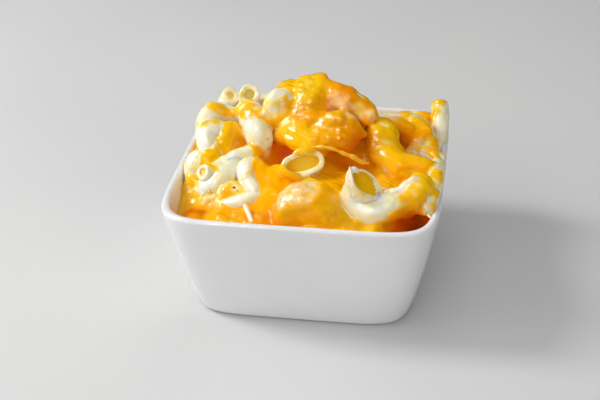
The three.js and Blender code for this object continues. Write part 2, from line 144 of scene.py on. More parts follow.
# ------------------------------------------------------------------ the elbows
# p: centre line as picture point and depth; r: radius (mm), one or several along the length;
# run: how far each buried end runs on (0 = open end); coat: sauce on it (mm, below 0 bare), one or
# several along the length; side: (x, y, z, mm) more sauce on the side that faces that way;
# oval: width over height; wide: the way of the width; wall: thickness of the pasta
E = {
    'A1': dict(p=[(231, 95, 21), (229, 99, 22.5), (226, 106, 22), (222, 116, 19)], r=3.4, run=(0, 4), coat=-0.5, wall=2.1, deep=0.7),
    'A2': dict(p=[(250, 94, 17), (249, 96, 20.5), (247, 103, 22.5), (244, 114, 20)], r=3.8, run=(0, 4), coat=-0.5, wall=2.1, deep=1.6),
    'B': dict(p=[(206, 128, 4), (207, 119, 8), (213, 112, 10), (223, 114, 12), (236, 120, 12)], r=[3.8, 3.9, 4.0, 4.0, 3.8], run=(5, 6), coat=-0.5),
    'C1': dict(p=[(215, 130, 0), (208, 134, -1.5), (207.5, 143, -4.5), (213, 153, -7)], r=[3.9, 4.0, 3.9, 3.3], run=(4, 5), coat=-0.4),
    'C2': dict(p=[(225, 150, -3), (225.5, 140, -1), (229, 134, 1), (234, 136, 1.5), (237, 145, 0.5)], r=3.7, run=(3, 4), coat=1.0, hue=-0.2),
    'D': dict(p=[(251, 113, 9), (255, 120, 6), (258.5, 132, 2), (260, 142, -0.5), (260, 148, -1)], r=[4.9, 6.0, 5.7, 4.7, 3.9], run=(4, 3), coat=[0.2, -0.4, -0.5, -0.4, 0.3]),
    'E': dict(p=[(195, 178, -14), (195, 168, -12), (199, 160, -10.5), (207, 160, -10), (212, 168, -11)], r=[3.6, 4.2, 4.2, 3.6, 3.2], run=(4, 4), coat=[0.3, 0.1, 0.2, 0.8, 0.8], side=(1, 0.2, -0.2, 0.7), hue=-0.3),
    'F': dict(p=[(249, 154, -5), (240, 158, -8), (230, 164, -11), (221, 170, -14), (211, 174, -17), (202, 172.5, -19.5)], r=[3.4, 3.6, 3.8, 3.7, 3.4, 3.0], run=(4, 0), coat=-0.5, wall=1.6, deep=0.9),
    'F4': dict(p=[(228, 190, -22.5), (236, 190, -22), (243, 194, -23)], r=[2.8, 3.2, 2.8], run=(3, 3), coat=-0.1),
    'F3': dict(p=[(238, 163, -9.5), (231, 171, -13.5), (223, 178.5, -16.5), (215, 184, -18.5), (207, 187, -20)], r=[3.4, 4.8, 5.4, 4.8, 3.6], run=(3, 3), coat=-0.3),
    'F5': dict(p=[(226, 203.5, -28.5), (238, 201.8, -28.5), (250, 199.3, -27.5), (262, 196.5, -26)], r=[1.8, 2.6, 2.8, 2.2], run=(2, 3), coat=-0.4),
    'G': dict(p=[(254, 166, -12), (247.5, 168.5, -15), (247, 176, -18.5), (250.5, 185, -22), (257, 194, -25)], r=[3.2, 3.8, 3.6, 3.1, 2.6], run=(4, 4), coat=-0.4, side=(1, 0.35, 0, 0.8)),
    'G2': dict(p=[(258.5, 168, -14), (264, 177, -17.5), (265.5, 187, -21), (266, 197, -24.5)], r=[2.5, 3.0, 3.1, 2.8], run=(1, 3), coat=0.75),
    'I': dict(p=[(303, 163.5, -18.5), (302.5, 165.5, -15.5), (302, 168, -12), (301, 172, -7)], r=[6.0, 5.9, 5.5, 5.0], run=(0, 0), coat=-0.5, oval=1.58, wide=(0.97, 0.10, 0.30), wall=1.9, deep=1.8),
    'J': dict(p=[(288, 128, 8), (288, 131, 4), (294, 133, 0.5), (302, 138, -2.5), (308, 141, -4)], r=[4.6, 4.8, 4.6, 4.2, 3.8], run=(3, 3), coat=0.9, hue=-0.8),
    'K0': dict(p=[(281, 98, 8), (274, 101, 6), (273, 108, 5), (279, 113, 6)], r=3.6, run=(4, 5), coat=0.05),
    'K1': dict(p=[(284, 111, 7), (285, 101, 10), (287, 96, 12)], r=4.4, run=(4, 6), coat=0.8, hue=-0.5),
    'K2': dict(p=[(309, 111, 6), (309, 100, 9), (309, 91, 12)], r=4.5, run=(4, 6), coat=0.7, hue=-0.2, oval=1.45, wide=(1, 0.15, 0)),
    'K4': dict(p=[(286, 112, 9), (298, 115, 5.5), (312, 117, 4), (322, 113, 7.5)], r=3.0, run=(3, 4), coat=0.8, hue=0.5),
    'K5': dict(p=[(302, 122, 2), (311, 122, 1), (319, 120, 2.5)], r=2.8, run=(3, 3), coat=0.8, hue=0.4),
    'S1': dict(p=[(267, 120, 6), (275, 119, 4), (283, 119, 5)], r=2.8, run=(3, 3), coat=0.8),
    'K3': dict(p=[(321, 104, 9), (320, 94, 11), (320, 85, 14)], r=2.7, run=(4, 6), coat=0.6, hue=0.4),
    'KR': dict(p=[(326, 94, 13), (338, 97.5, 12), (350, 102.5, 11), (359, 108.5, 10), (365, 113, 9)], r=[4.4, 4.6, 4.4, 3.9, 3.3], run=(4, 3), coat=0.7, side=(0.3, 0.3, 1, 0.2), hue=0.7),
    'L1': dict(p=[(324, 130, -1), (332, 124, 1), (342, 123, 2), (348, 127, 1)], r=[3.6, 4.1, 4.1, 3.6], run=(4, 4), coat=0.8, hue=0.35),
    'L2': dict(p=[(324, 141, -4), (332, 139, -3), (341, 138, -2)], r=3.9, run=(4, 4), coat=0.8, hue=0.35),
    'M': dict(p=[(382, 135, 6), (382.5, 142, 3.5), (385.5, 153, 1), (396, 164, -3), (411, 168, -4.5), (425, 170, -5.5)], r=[5.1, 5.3, 5.2, 4.6, 4.1, 3.2], run=(4, 1.5), coat=0.8, hue=-0.45),
    'O2': dict(p=[(380, 121, 24), (392, 121, 26), (404, 122, 26)], r=2.9, run=(5, 5), coat=-0.2),
    'O3': dict(p=[(410, 124, 24), (418, 127, 21), (424, 136, 16)], r=3.7, run=(4, 5), coat=0.55),
    'O4': dict(p=[(384, 129, 17), (394, 128, 18), (404, 133, 16)], r=3.8, run=(4, 5), coat=0.6),
    'O6': dict(p=[(421, 141, 13), (416, 148, 10), (411, 154, 7)], r=2.5, run=(4, 5), coat=0.25),
    'RB1': dict(p=[(440, 105, 37), (441, 118, 32.5), (441, 132, 26.5), (437.5, 148, 19)], r=[3.4, 3.4, 3.4, 3.4], run=(0, 5), coat=[0.4, -0.1, -0.2, -0.2]),
    'RB2': dict(p=[(423, 153, 9), (431, 157, 8), (438, 162, 6)], r=3.3, run=(4, 2), coat=0.3),
    'P3': dict(p=[(437, 166, 0), (436, 178, -12), (434, 188, -20), (431, 198, -26), (428, 206, -29)], r=2.8, run=(3, 3), coat=0.05),
    'P1': dict(p=[(366, 182, -29.6), (362, 191.5, -28.2), (357, 200, -28.7), (362, 208, -30.5), (376, 209, -31.5), (391, 205, -30.5), (403, 199, -28.5)],
               r=[6.6, 6.3, 5.8, 5.4, 5.2, 4.7, 4.1], run=(0, 4), coat=[-0.3, -0.3, -0.3, -0.3, -0.2, 0.3, 0.7], side=(0.1, -0.2, -1, 0.9), oval=1.2, wide=(1, 0, 0), wall=1.4,
               cut=(-0.9, -0.3, 0, 3.8), deep=1.0),
    'P2': dict(p=[(404, 201, -28.5), (411, 197.5, -28), (416, 193, -27), (418, 188.5, -26)], r=[4.1, 4.3, 4.3, 4.0], run=(4, 3), coat=0.8, hue=-0.6),
    'Q': dict(p=[(284, 208, -35), (292, 200, -33.5), (303, 197, -33), (316, 198, -33), (326, 206, -34)], r=[3.8, 4.8, 5.5, 5.2, 4.2], run=(4, 5), coat=[0.9, 0.8, 0.75, 0.8, 0.9], side=(0, -0.5, -1, 0.2), oval=1.55, wide=(0, -0.62, -0.78), hue=0.1),
    'Q2': dict(p=[(298, 213, -36), (306, 211, -36), (316, 211, -36), (326, 213, -35)], r=[3.6, 4.0, 4.0, 3.8], run=(4, 4), coat=0.6, hue=0.35),
}
# further elbows, behind: [x, y, z of the middle, heading, pitch, roll of the bend in degrees, length,
# radius of the bend, radius of the tube, coat]
ARCS = [
    (7.1, 27.9, 51.2, -48, 14, -21, 21.9, 13.7, 4.6, 0.5),
    (-16.4, 25.7, 54.8, 161, -6, -80, 21.2, 12.7, 4.4, -0.2),
    (24.5, 32.1, 41.6, -140, 13, -159, 21.9, 12.5, 4.2, 0.0),
    (-23.1, 36.0, 46.2, 173, -20, -82, 20.0, 15.4, 4.6, 0.3),
    (6.9, 35.0, 45.5, 151, -15, -158, 23.1, 16.4, 4.2, -0.4),
    (-35.9, 27.9, 45.1, 88, -20, -112, 21.2, 15.5, 4.6, 0.1),
    (25.7, 20.7, 46.5, -111, 30, -124, 19.6, 11.6, 4.2, -0.3),
    (34.0, 37.5, 43.4, 10, 0, -90, 17.0, 14.0, 4.3, 0.3),
    (-10.0, 38.5, 43.6, 176, 4, -60, 20.0, 14.0, 4.3, -0.3),
]
CUT_LOW = 0.9         # how much lower the low side of a slanted end lies
WALL_T = 1.35          # wall of a cooked elbow


def arc_points(x, y, z, heading, pitch, roll, length, bend, n=7):
    h, p, r = (math.radians(v) for v in (heading, pitch, roll))
    t = np.array([math.cos(p) * math.cos(h), math.cos(p) * math.sin(h), math.sin(p)])
    s = np.cross(t, (0, 0, 1.0)); s /= np.linalg.norm(s)
    u = np.cross(s, t)
    inward = math.cos(r) * s + math.sin(r) * u
    a = np.linspace(-0.5, 0.5, n) * length / bend
    c = np.array([x, y, z]) + bend * inward
    return [tuple(c + bend * (math.sin(v) * t - math.cos(v) * inward)) for v in a]


for i, (x, y, z, h, p, r, length, bend, rt, coat) in enumerate(ARCS):
    E['X%d' % i] = dict(mm=arc_points(x, y, z, h, p, r, length, bend), r=rt, run=(0, 0), coat=coat, shut_ends=True)


def catmull(P, step):
    P = np.asarray(P, float)
    if len(P) == 2:
        P = np.vstack([P[0], (P[0] + P[1]) / 2, P[1]])
    Q = np.vstack([2 * P[0] - P[1], P, 2 * P[-1] - P[-2]])
    out = []
    for i in range(len(P) - 1):
        p0, p1, p2, p3 = Q[i:i + 4]
        t = np.linspace(0, 1, 16, endpoint=False)[:, None]
        out.append(0.5 * ((2 * p1) + (-p0 + p2) * t + (2 * p0 - 5 * p1 + 4 * p2 - p3) * t ** 2
                          + (-p0 + 3 * p1 - 3 * p2 + p3) * t ** 3))
    out.append(P[-1:])
    C = np.vstack(out)
    s = np.r_[0, np.cumsum(np.linalg.norm(np.diff(C, axis=0), axis=1))]
    n = max(4, int(round(s[-1] / step)))
    u = np.linspace(0, s[-1], n + 1)
    C = np.column_stack([np.interp(u, s, C[:, k]) for k in range(3)])
    for _ in range(2):
        C[1:-1] = 0.25 * C[:-2] + 0.5 * C[1:-1] + 0.25 * C[2:]
    return C


class Tube:
    def __init__(self, name, spec):
        self.name = name
        self.oval = spec.get('oval', 1.0)
        self.wall = spec.get('wall', WALL_T)
        self.spec_deep = spec.get('deep', 3.4)
        P = [np.array(q, float) for q in spec['mm']] if 'mm' in spec else [at(*q) for q in spec['p']]
        n_hand = len(P)
        down = np.array([0, 0, -1.0])
        run0, run1 = spec['run']
        before = 0
        if run0 > 0:
            t = P[0] - P[1]; t /= np.linalg.norm(t); t = t + 0.55 * down; t /= np.linalg.norm(t)
            t2 = t + 0.8 * down; t2 /= np.linalg.norm(t2)
            a = P[0] + t * run0 * 0.5
            P = [a + t2 * run0 * 0.5, a] + P
            before = 2
        if run1 > 0:
            t = P[-1] - P[-2]; t /= np.linalg.norm(t); t = t + 0.55 * down; t /= np.linalg.norm(t)
            t2 = t + 0.8 * down; t2 /= np.linalg.norm(t2)
            a = P[-1] + t * run1 * 0.5
            P = P + [a, a + t2 * run1 * 0.5]
        shut = spec.get('shut_ends', False)
        self.open = (run0 == 0 and not shut, run1 == 0 and not shut)
        P = np.array(P)
        self.C = catmull(P, 1.1)
        C = self.C
        # where each given point lies along the line
        along = [int(np.argmin(((C - q) ** 2).sum(1))) for q in P]
        hand = np.array(along[before:before + n_hand], float)

        def spread(v):
            if np.isscalar(v):
                return np.full(len(C), float(v))
            k = np.interp(np.linspace(0, 1, len(v)), np.linspace(0, 1, n_hand), hand)
            return np.interp(np.arange(len(C)), k, v)

        self.R = spread(spec['r'])
        self.r = float(self.R.max())
        self.coat = spread(spec['coat'])
        self.side = spec.get('side')
        self.cut = spec.get('cut')
        self.hue = spec.get('hue', 0.0)
        T = np.gradient(C, axis=0); T /= np.linalg.norm(T, axis=1)[:, None]
        wide = np.array(spec.get('wide', (0, 0, 1.0)), float)
        u = wide - T[0] * (wide @ T[0])
        if np.linalg.norm(u) < 0.15:
            u = np.cross(T[0], (1.0, 0, 0))
        u /= np.linalg.norm(u)
        U = [u]
        for i in range(1, len(C)):
            u = U[-1] - T[i] * (U[-1] @ T[i]); U.append(u / np.linalg.norm(u))
        self.T, self.U = T, np.array(U)
        self.V = np.cross(T, self.U)
        self.s = np.r_[0, np.cumsum(np.linalg.norm(np.diff(C, axis=0), axis=1))]
        k = math.sqrt(self.oval)
        seed = sum(ord(c) * (7 ** i) for i, c in enumerate(name)) % 9973
        rng = np.random.default_rng(seed)
        wob = 1 + 0.03 * np.sin(self.s / rng.uniform(3.0, 5.0) + rng.uniform(0, 6.28))
        self.a = self.R * k * wob
        self.b = self.R / k * (2 - wob)
        self.tone = rng.uniform(-1, 1)

    def bounds(self, pad):
        m = self.r * max(self.oval, 1) + pad
        return self.C.min(0) - m, self.C.max(0) + m

    def field(self, X, Y, Z):
        """Signed distance to the outside of the tube, with flat ends, and the coat of sauce there."""
        shape = X.shape
        p = np.column_stack([X.ravel(), Y.ravel(), Z.ravel()]).astype(np.float32)
        C = self.C.astype(np.float32)
        best = np.full(len(p), 1e9, np.float32)
        near = np.zeros(len(p), np.int32)
        for i, c in enumerate(C):
            d = ((p - c) ** 2).sum(1)
            m = d < best
            best[m] = d[m]; near[m] = i
        T, U, V = (a.astype(np.float32) for a in (self.T, self.U, self.V))
        q = p - C[near]
        w = (q * T[near]).sum(1)
        # slide along to the exact foot of the point, so that the radius runs smoothly
        step = float(self.s[1])
        f = np.clip(near + w / step, 0, len(C) - 1)
        i0 = np.floor(f).astype(int); i1 = np.minimum(i0 + 1, len(C) - 1); fr = (f - i0).astype(np.float32)
        a = self.a.astype(np.float32); b = self.b.astype(np.float32); co = self.coat.astype(np.float32)
        a = a[i0] * (1 - fr) + a[i1] * fr
        b = b[i0] * (1 - fr) + b[i1] * fr
        co = co[i0] * (1 - fr) + co[i1] * fr
        u = (q * U[near]).sum(1)
        v = (q * V[near]).sum(1)
        rr = np.sqrt((u / a) ** 2 + (v / b) ** 2) + 1e-6
        rad = np.sqrt(u * u + v * v) + 1e-6
        d = (rr - 1) * rad / rr
        d = np.where(rr < 0.35, (rr - 1) * np.minimum(a, b), d)
        end = np.where(near == 0, -w, np.where(near == len(C) - 1, w, -5.0))
        if self.cut is not None:
            along = near * step + w
            ends = self.cut_at(q) - along
            end = np.where(near < len(C) // 2, np.maximum(ends, -5.0), end)
        out = np.where((d > 0) & (end > 0), np.sqrt(np.maximum(d, 0) ** 2 + np.maximum(end, 0) ** 2), np.maximum(d, end))
        if self.side is not None:
            s = np.array(self.side[:3], float); s = s / np.linalg.norm(s)
            ks = (u * (U[near] @ s) + v * (V[near] @ s)) / rad
            co = co + self.side[3] * ks
        return out.reshape(shape), co.reshape(shape)

    def cut_at(self, q):
        """How far along the line the slanted open end lies, on the side where q is."""
        way = np.array(self.cut[:3]) / np.linalg.norm(self.cut[:3])
        lift = (q @ way.astype(q.dtype)) / self.r
        return -np.where(lift > 0, lift ** 2 * 1.25, lift * CUT_LOW) * self.cut[3]

    def mesh(self, around=40):
        """Hollow tube: outside, rounded ends and bore, one closed surface."""
        n = len(self.C)
        q = np.linspace(0, 2 * np.pi, around, endpoint=False)
        rings, bore, lines = [], [], []
        ph = np.random.default_rng(int(abs(self.tone) * 1e6)).uniform(0, 6.28, 3)

        def ring(i, inset, along, inside):
            c = self.C[i] + self.T[i] * along
            a, b = self.a[i] - inset, self.b[i] - inset
            s = self.s[i]
            line = 0.45 * np.sin(4 * q + ph[0] + 0.10 * s) + 0.35 * np.sin(7 * q + ph[1] - 0.07 * s) + 0.2 * np.sin(13 * q + ph[2] + 0.05 * s)
            a, b = a * (1 + 0.010 * line), b * (1 + 0.010 * line)
            P = c + (np.cos(q) * a)[:, None] * self.U[i] + (np.sin(q) * b)[:, None] * self.V[i]
            if self.cut is not None:
                k = self.s[i] / 9.0
                if k < 1:
                    P = P + np.outer(self.cut_at(P - c) * (1 - k), self.T[i])
            rings.append(P)
            bore.append(np.full(around, inside))
            lines.append(line)

        t = self.wall
        e = min(0.6, t * 0.42)
        ring(0, 0.0, 0.6, 0)
        for i in range(1, n - 1):
            ring(i, 0.0, 0.0, 0)
        ring(n - 1, 0.0, -0.6, 0)
        for inset, along, ins in ((0.12 * e, -0.3, 0), (0.45 * e, -0.08, 0), (e, 0.0, 0), (t - e, 0.0, 0), (t - 0.45 * e, -0.08, 0.2), (t - 0.12 * e, -0.3, 0.6), (t, -0.6, 1)):
            ring(n - 1, inset, along, ins)
        for i in range(n - 2, 0, -1):
            ring(i, t, 0.0, 1)
        for inset, along, ins in ((t, 0.6, 1), (t - 0.12 * e, 0.3, 0.6), (t - 0.45 * e, 0.08, 0.2), (t - e, 0.0, 0), (e, 0.0, 0), (0.45 * e, 0.08, 0), (0.12 * e, 0.3, 0)):
            ring(0, inset, along, ins)
        m = len(rings)
        V = np.vstack(rings)
        i = np.arange(m)[:, None] * around
        j = np.arange(around)[None, :]
        j2 = (j + 1) % around
        i2 = ((np.arange(m) + 1) % m)[:, None] * around
        F = np.stack([i + j, i + j2, i2 + j2, i2 + j], -1).reshape(-1, 4)
        return V, F, np.concatenate(bore), np.concatenate(lines)


TUBES = [Tube(k, v) for k, v in E.items()]


def to_room(V, slack):
    """Presses points back inside the bowl where they would pass its wall."""
    x, y, z = V[:, 0], V[:, 1], V[:, 2]
    n = squareness(z)
    rho = rounded_radius(x, y, n)
    lim = room_half(z) - slack
    k = np.where(rho > lim, lim / np.maximum(rho, 1e-6), 1.0)
    W = V.copy()
    W[:, 0] *= k; W[:, 1] *= k
    return W


# ------------------------------------------------------------------ sauce: a field on a grid, meshed
H = 0.56
Z0, Z1 = 33.0, 74.0
gx = np.arange(-49.6, 49.6 + H, H, dtype=np.float32)
gz = np.arange(Z0 - 1.5 * H, Z1 + H, H, dtype=np.float32)
X, Y, Z = np.meshgrid(gx, gx, gz, indexing='ij')
NX, NY, NZ = X.shape


def smin(a, b, k):
    h = np.clip(0.5 + 0.5 * (b - a) / k, 0, 1)
    return b + (a - b) * h - k * h * (1 - h)


def sample(A, V):
    """Trilinear values of a grid field at points."""
    g = np.array([gx[0], gx[0], gz[0]])
    q = np.clip((V - g) / H, 0, np.array(A.shape) - 1.001)
    i = q.astype(int); f = q - i
    out = 0
    for a in (0, 1):
        for b in (0, 1):
            for c in (0, 1):
                w = (f[:, 0] if a else 1 - f[:, 0]) * (f[:, 1] if b else 1 - f[:, 1]) * (f[:, 2] if c else 1 - f[:, 2])
                out = out + w * A[i[:, 0] + a, i[:, 1] + b, i[:, 2] + c]
    return out


def first_food(A, u, v):
    """Where the line of sight through (u, v) first meets the solid given by the field A."""
    y = np.arange(-60.0, 60.0, 0.1)[:, None]
    P0, P1 = at(u, v, 0.0), at(u, v, 10.0)
    P = P0 + (P1 - P0) * y / 10.0
    P = P[(P[:, 2] < Z1) & (P[:, 2] > Z0) & (np.abs(P[:, 0]) < 48) & (np.abs(P[:, 1]) < 48)]
    hit = np.nonzero(sample(A, P) < 0)[0]
    return P[hit[0]] if len(hit) else P[-1]


broad = Waves(3, 9.0)
fine = Waves(5, 3.2)
# pieces of sauce thickness, listed: picture point, reach, extra coat
DABS = [
    (213, 107.5, 1.9, 0.6), (221, 109.5, 1.9, 0.65), (229, 112, 1.9, 0.8), (206, 123, 1.3, 0.6), (213, 121.5, 1.3, 0.6), (191, 178, 2.6, 0.9), (243, 113, 1.7, 0.7), (251, 112, 1.9, 0.9), (259, 112, 2.0, 0.9), (266, 116, 1.8, 0.7), (209, 159, 2.0, 0.7), (212, 167, 2.0, 0.7),
    (256, 154, 2.0, 1.2),
    (235, 186, 2.6, 0.62), (358, 200, 2.2, -0.7), (367, 201, 2.2, -0.7), (402, 131, 2.2, 0.9), (241, 178, 1.6, 0.6), (284, 172, 2.6, 1.4), (304, 151, 2.0, 1.3), (298, 153.5, 1.7, 1.2), (310, 151.5, 1.8, 1.3), (289, 174, 1.9, 1.3), (296, 176.5, 1.6, 1.0), (214, 105.5, 1.9, 0.5), (220, 107, 1.8, 0.4), (216, 121, 1.5, 0.9), (204, 124.5, 1.3, 0.5),
    (376, 184, 2.2, 0.9), (385, 190, 2.2, 1.1), (282, 198, 2.0, 0.6), (395, 188, 2.0, 1.0),
]
# places where the sauce lies smooth: picture point, reach, how smooth
CALM_SEEN = [(340, 184, 4.5, 1.0), (288, 112, 3.0, -0.5), (276, 154, 3.5, 1.2), (283, 160, 3.0, 1.0), (274, 163, 3.0, 1.0), (260, 184, 3.0, 0.9), (264, 166, 3.0, 1.0), (264, 175, 3.5, 1.1), (268, 183, 3.8, 1.2), (364, 199, 3.0, 1.0), (303, 200, 5.0, 0.7), (312, 188, 4.0, 0.7), (334, 176, 5.0, 0.6), (232, 130, 3.0, 0.6), (306, 162, 3.0, 0.6),
             (291, 91, 3.2, -1.0), (299, 96, 3.2, -1.1), (311, 92, 3.2, -1.0), (284, 132, 3.0, -0.8), (372, 138, 2.4, -1.2), (374, 152, 2.4, -1.2), (341, 126, 3.0, -0.8), (333, 116, 2.5, -0.6), (277, 202, 2.0, -0.8), (424, 128, 3.0, -0.8), (408, 122, 3.0, -0.6), (290, 120, 2.5, -0.7)]
# small curds in the sauce: picture point, radius; each sits where the line of sight first meets the food
CURDS = [(203, 194, 1.2), (208, 196, 1.0), (206, 201, 1.3), (212, 199, 1.1), (216, 195, 0.9), (219, 201, 1.2),
         (212, 205, 1.0), (201, 199, 0.9), (223, 205, 0.9), (209, 191, 0.8), (333, 212, 1.1), (329, 209, 0.9), (336, 208, 0.8),
         (340, 122, 1.2), (341, 130, 1.3), (340, 138, 1.2)]


# a bare edge of pasta that shows through the sauce: picture points, radii
RIDGE = [(382, 190.5), (388, 192.5), (394, 193), (399, 190.5), (404, 186), (409, 181.5), (416, 178)], [0.9, 1.2, 1.4, 1.4, 1.3, 1.2, 0.7]


lev = level(X[:, :, 0], Y[:, :, 0])
gxx, gyy = np.gradient(lev, H)
steep = 1 / np.sqrt(1 + gxx ** 2 + gyy ** 2)
wav = 0.5 * broad(X[:, :, 0], Y[:, :, 0], 0 * X[:, :, 0]) + 0.10 * fine(X[:, :, 0], Y[:, :, 0], 0 * X[:, :, 0])
F = ((Z - (lev + wav)[:, :, None]) * steep[:, :, None]).astype(np.float32)
DT = np.full(F.shape, 9.0, np.float32)
BORE = np.full(F.shape, 9.0, np.float32)
HUE = np.zeros(F.shape, np.float32)


def window(lo, hi):
    sl = []
    for k, g in enumerate((gx, gx, gz)):
        a = max(0, int(np.searchsorted(g, lo[k])) - 1)
        b = min(len(g), int(np.searchsorted(g, hi[k])) + 1)
        sl.append(slice(a, b))
    return tuple(sl)


found = []
for tb in TUBES:
    lo, hi = tb.bounds(4.5)
    w = window(lo, hi)
    if X[w].size == 0:
        continue
    d, co = tb.field(X[w], Y[w], Z[w])
    HUE[w] = np.where((d < DT[w]) & (d < 3.5), tb.hue, HUE[w])
    DT[w] = np.minimum(DT[w], d)
    found.append((tb, w, d, co))

BARE = np.minimum(F, DT)
dabs = [(first_food(BARE, pu, pv), s, a) for pu, pv, s, a in DABS]
for tb, w, d, co in found:
    x, y, z = X[w], Y[w], Z[w]
    c = co + 0.22 * broad(x, y, z) + 0.10 * fine(x, y, z)
    for q, s, a in dabs:
        c = c + a * np.exp(-((x - q[0]) ** 2 + (y - q[1]) ** 2 + (z - q[2]) ** 2) / (2 * s * s))
    F[w] = smin(F[w], d - np.clip(c, -0.9, 2.2), 1.1)
    for which, i, sgn in ((0, 0, -1), (1, len(tb.C) - 1, 1)):
        if not tb.open[which]:
            continue
        q0 = tb.C[i]
        out = tb.T[i] * sgn
        dx, dy, dz = x - q0[0], y - q0[1], z - q0[2]
        al = dx * out[0] + dy * out[1] + dz * out[2]
        if tb.cut is not None:
            al = al + tb.cut_at(np.stack([dx, dy, dz], -1))
        u = dx * tb.U[i][0] + dy * tb.U[i][1] + dz * tb.U[i][2]
        v = dx * tb.V[i][0] + dy * tb.V[i][1] + dz * tb.V[i][2]
        a, b = tb.a[i] - tb.wall + 0.25, tb.b[i] - tb.wall + 0.25
        rr = (np.sqrt((u / a) ** 2 + (v / b) ** 2) - 1) * min(a, b)
        deep = tb.spec_deep
        cyl = np.maximum(rr, np.maximum(al - 1.6, -al - deep))
        BORE[w] = np.minimum(BORE[w], cyl)

SKIN = np.minimum(F, DT)
for pu, pv, r in CURDS:
    c = first_food(SKIN, pu, pv)
    w = window(c - r - 2, c + r + 2)
    d = np.sqrt((X[w] - c[0]) ** 2 + (Y[w] - c[1]) ** 2 + ((Z[w] - c[2]) / 0.8) ** 2) - r
    F[w] = smin(F[w], d, 0.5)
on_ridge = np.array([first_food(SKIN, u, v) for u, v in RIDGE[0]])
on_ridge[1:-1] = 0.5 * on_ridge[1:-1] + 0.25 * (on_ridge[:-2] + on_ridge[2:])
t = np.linspace(0, 1, 41)
along = np.column_stack([np.interp(t, np.linspace(0, 1, len(on_ridge)), on_ridge[:, k]) for k in range(3)])
along_r = np.interp(t, np.linspace(0, 1, len(RIDGE[1])), RIDGE[1])
for c, r in zip(along, along_r):
    w = window(c - r - 2, c + r + 2)
    F[w] = smin(F[w], np.sqrt((X[w] - c[0]) ** 2 + (Y[w] - c[1]) ** 2 + (Z[w] - c[2]) ** 2) - r, 0.25)
middle = Waves(6, 4.2)
CALM = np.zeros(F.shape, np.float32)
SKIN = np.minimum(F, DT)
calm_at = [(first_food(SKIN, pu, pv), s, a) for pu, pv, s, a in CALM_SEEN]
for c, s, a in calm_at:
    w = window(c - 2.5 * s, c + 2.5 * s)
    CALM[w] += a * np.exp(-((X[w] - c[0]) ** 2 + (Y[w] - c[1]) ** 2 + (Z[w] - c[2]) ** 2) / (2 * s * s))
F += (0.06 * fine(X, Y, Z) + 0.17 * middle(X, Y, Z)) * (1 - 0.85 * np.clip(CALM, -1.3, 1))
k = 0.5
h_ = np.clip(0.5 - 0.5 * (BORE + F) / k, 0, 1)
F = F + (-BORE - F) * h_ + k * h_ * (1 - h_)
OPEN = F.copy()
room = (rounded_radius(X, Y, squareness(Z)) - (room_half(Z) + 0.25)).astype(np.float32)
F = np.maximum(F, room)
F = np.maximum(F, (Z0 - Z).astype(np.float32))
F[0], F[-1], F[:, 0], F[:, -1], F[:, :, 0], F[:, :, -1] = 5, 5, 5, 5, 5, 5


def surface_nets(F, gx, gy, gz):
    s = F < 0
    nx, ny, nz = F.shape
    corners = [(a, b, c) for a in (0, 1) for b in (0, 1) for c in (0, 1)]

    def cut(A, a, b, c):
        return A[a:nx - 1 + a, b:ny - 1 + b, c:nz - 1 + c]

    cnt = sum(cut(s, *c).astype(np.int8) for c in corners)
    act = (cnt > 0) & (cnt < 8)
    idx = np.full(act.shape, -1, np.int64)
    ii = np.argwhere(act)
    idx[act] = np.arange(len(ii))
    acc = np.zeros((len(ii), 3)); num = np.zeros(len(ii))
    for a in corners:
        for k in range(3):
            if a[k] == 1:
                continue
            b = list(a); b[k] = 1
            fa = F[ii[:, 0] + a[0], ii[:, 1] + a[1], ii[:, 2] + a[2]]
            fb = F[ii[:, 0] + b[0], ii[:, 1] + b[1], ii[:, 2] + b[2]]
            m = (fa < 0) != (fb < 0)
            t = fa[m] / (fa[m] - fb[m])
            q = np.tile(np.array(a, float), (m.sum(), 1)); q[:, k] += t
            acc[m] += q; num[m] += 1
    pos = ii + acc / num[:, None]
    step = np.array([gx[1] - gx[0], gy[1] - gy[0], gz[1] - gz[0]])
    V = pos * step + np.array([gx[0], gy[0], gz[0]])
    quads = []
    for k in range(3):
        lo = [slice(0, n) for n in F.shape]; hi = [slice(0, n) for n in F.shape]
        lo[k] = slice(0, F.shape[k] - 1); hi[k] = slice(1, F.shape[k])
        a, b = s[tuple(lo)], s[tuple(hi)]
        m = a != b
        e = np.argwhere(m)
        o = [j for j in range(3) if j != k]
        ok = (e[:, o[0]] > 0) & (e[:, o[1]] > 0) & (e[:, o[0]] < F.shape[o[0]] - 1) & (e[:, o[1]] < F.shape[o[1]] - 1)
        e = e[ok]
        inside = a[e[:, 0], e[:, 1], e[:, 2]]
        c = []
        for du, dv in ((-1, -1), (0, -1), (0, 0), (-1, 0)):
            q = e.copy(); q[:, o[0]] += du; q[:, o[1]] += dv
            c.append(idx[q[:, 0], q[:, 1], q[:, 2]])
        Q = np.column_stack(c)
        flip = inside if k != 1 else ~inside
        Q[~flip] = Q[~flip][:, ::-1]
        quads.append(Q)
    return V, np.vstack(quads)


def box_blur(A, r):
    for ax in range(3):
        c = np.cumsum(np.pad(A, [(r + 1, r) if k == ax else (0, 0) for k in range(3)], mode='edge'), axis=ax, dtype=np.float64)
        n = A.shape[ax]
        hi = np.take(c, np.arange(2 * r + 1, 2 * r + 1 + n), axis=ax)
        lo = np.take(c, np.arange(0, n), axis=ax)
        A = ((hi - lo) / (2 * r + 1)).astype(np.float32)
    return A


# how shut in each place is: 0.5 on a flat, more in a hollow, less on a crest; the sauce and pasta colours below paint
# shade where it is high
solid = ((F < 0) | (Z < Z0)).astype(np.float32)
SHUT = box_blur(box_blur(solid, int(round(2.4 / H))), int(round(1.6 / H)))

SV, SQ = surface_nets(F, gx, gx, gz)


